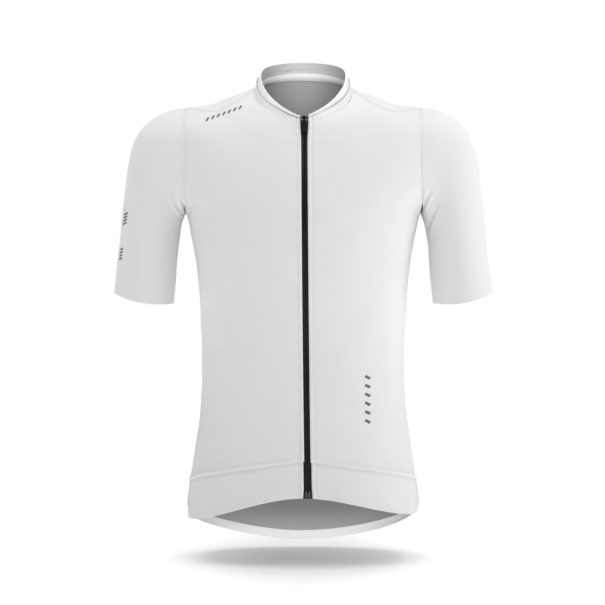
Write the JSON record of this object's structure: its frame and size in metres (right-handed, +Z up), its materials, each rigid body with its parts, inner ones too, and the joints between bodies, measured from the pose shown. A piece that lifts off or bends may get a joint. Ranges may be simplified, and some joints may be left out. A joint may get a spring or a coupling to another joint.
{
  "type": "short-sleeved cycling jersey",
  "caption": "Hollow, filled-out short-sleeved cycling jersey with stand collar, full front zip, hem bands and rear pocket panel, held up at the wearer's shoulders.",
  "frame": {"origin": "midway between the shoulders, level with the base of the neck, where the wearer's shoulders hold the jersey up", "axes": "+Z up along the body's length, -Y towards the front with the zip, +X towards the wearer's left sleeve"},
  "size_m": [0.549, 0.2262, 0.7148],
  "materials": {
    "knit": "matt white fine knit",
    "elastic": "matt white elastic tape",
    "zip_tape": "black woven tape with a film edge",
    "slider_metal": "dark satin metal",
    "pull": "matt black moulding"
  },
  "bodies": {
    "jersey": {"front_panel_right": "knit", "front_panel_left": "knit", "back_panel": "knit", "sleeve_right": "knit", "sleeve_left": "knit", "collar": "knit", "neck_tape": "elastic", "front_hem_right": "knit", "front_hem_left": "knit", "front_gripper_right": "elastic", "front_gripper_left": "elastic", "back_hem_band": "elastic", "pocket_panel": "knit", "zip_tape_right": "zip_tape", "zip_tape_left": "zip_tape", "zip_slider": "slider_metal", "zip_box": "pull"},
    "pull_tab": {"zip_pull_tab": "pull"}
  },
  "joints": [
    {"name": "pull_tab_hinge", "type": "hinge", "parent": "jersey", "child": "pull_tab", "pos_m": [0.0015, -0.0666, -0.05122], "axis": [-1, 0, 0], "range_deg": [0, 160]}
  ]
}
